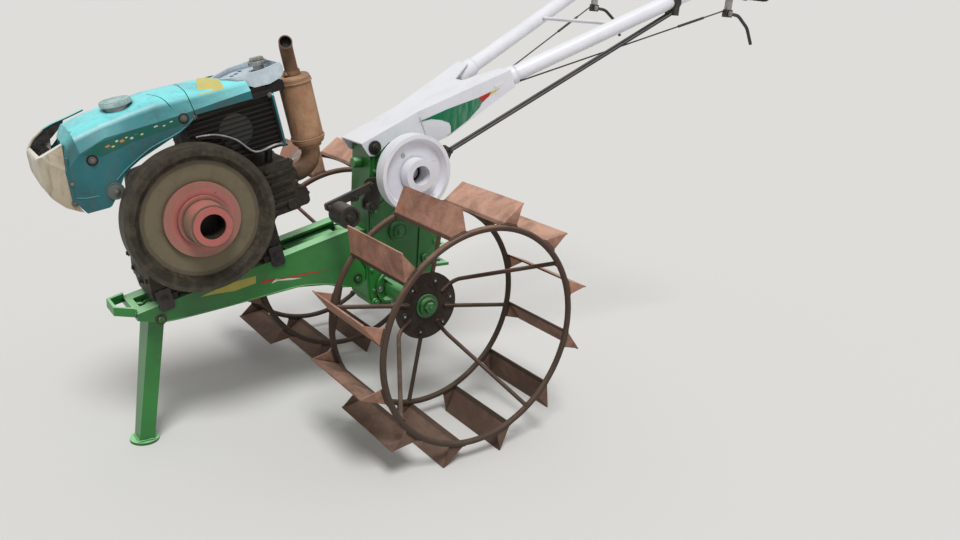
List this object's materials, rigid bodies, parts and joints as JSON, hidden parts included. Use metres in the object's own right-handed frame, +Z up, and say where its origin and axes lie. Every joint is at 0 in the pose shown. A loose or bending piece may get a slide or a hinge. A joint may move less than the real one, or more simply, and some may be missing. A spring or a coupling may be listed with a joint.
{
  "type": "walking tractor",
  "caption": "Two-wheeled walking tractor with a nose-down diesel engine, belt pulleys, steel cage wheels, front prop stand and long forked handlebars.",
  "frame": {"origin": "on the ground at mid-length, on the middle plane between the wheels", "axes": "+X forward to the engine nose, +Y to the flywheel and pulley side, +Z up"},
  "size_m": [2.436, 1.138, 1.4331],
  "materials": {
    "rusty_steel": "rusty",
    "black_steel": "dusty satin",
    "green_paint": "gloss, scuffed",
    "white_paint": "satin",
    "blue_paint": "worn gloss",
    "cream_paint": "worn satin",
    "engine_iron": "oily",
    "grey_metal": "dull",
    "tan_rust": "heat rusted",
    "red_paint": "faded",
    "flywheel_iron": "worn",
    "grip_rubber": "matt",
    "bright_steel": "dull",
    "lamp_grey": "dusty",
    "radiator_black": "dusty",
    "grey_plastic": "faded"
  },
  "bodies": {
    "frame": {"gearbox": "green_paint", "left_axle_housing": "green_paint", "right_axle_housing": "green_paint", "chassis": "green_paint", "bumper": "green_paint", "hitch": "green_paint", "engine_block": "engine_iron", "engine_clamps": "black_steel", "cylinder_head": "engine_iron", "fuel_tank": "blue_paint", "rear_hood": "blue_paint", "fuel_cap": "grey_metal", "lamp_cover": "cream_paint", "lamp": "lamp_grey", "radiator": "radiator_black", "radiator_tray": "grey_plastic", "radiator_cap": "bright_steel", "stay_rod": "blue_paint", "muffler": "tan_rust", "tail_pipe": "tan_rust", "exhaust_elbow": "tan_rust", "air_cleaner": "black_steel", "tension_arm": "black_steel", "handle_bracket": "white_paint", "left_handle": "white_paint", "right_handle": "white_paint", "left_grip": "grip_rubber", "right_grip": "grip_rubber", "handle_brace": "white_paint", "clutch_arms": "black_steel", "control_rods": "black_steel", "rod_clamp": "black_steel", "lever_brackets": "grey_metal", "hand_levers": "black_steel", "lever_cables": "black_steel"},
    "left_wheel": {"left_cage": "rusty_steel", "left_axle": "green_paint"},
    "right_wheel": {"right_cage": "rusty_steel", "right_axle": "green_paint"},
    "crank": {"flywheel": "flywheel_iron", "belt_drum": "red_paint"},
    "input_pulley": {"belt_pulley": "white_paint"},
    "roller": {"tension_roller": "black_steel"},
    "stand_leg": {"stand": "green_paint"}
  },
  "joints": [
    {"name": "left_wheel_spin", "type": "hinge", "parent": "frame", "child": "left_wheel", "pos_m": [0.21, 0.268, 0.38502], "axis": [0, 1, 0], "continuous": true},
    {"name": "right_wheel_spin", "type": "hinge", "parent": "frame", "child": "right_wheel", "pos_m": [0.21, -0.268, 0.38502], "axis": [0, 1, 0], "continuous": true},
    {"name": "flywheel_spin", "type": "hinge", "parent": "frame", "child": "crank", "pos_m": [0.852, 0.127, 0.685], "axis": [0, 1, 0], "continuous": true},
    {"name": "input_pulley_spin", "type": "hinge", "parent": "frame", "child": "input_pulley", "pos_m": [0.231, 0.19, 0.786], "axis": [0, 1, 0], "continuous": true},
    {"name": "roller_spin", "type": "hinge", "parent": "frame", "child": "roller", "pos_m": [0.46, 0.19, 0.675], "axis": [0, 1, 0], "continuous": true},
    {"name": "stand_fold", "type": "hinge", "parent": "frame", "child": "stand_leg", "pos_m": [0.95, 0, 0.396], "axis": [0, 1, 0], "range_deg": [0, 75]}
  ]
}
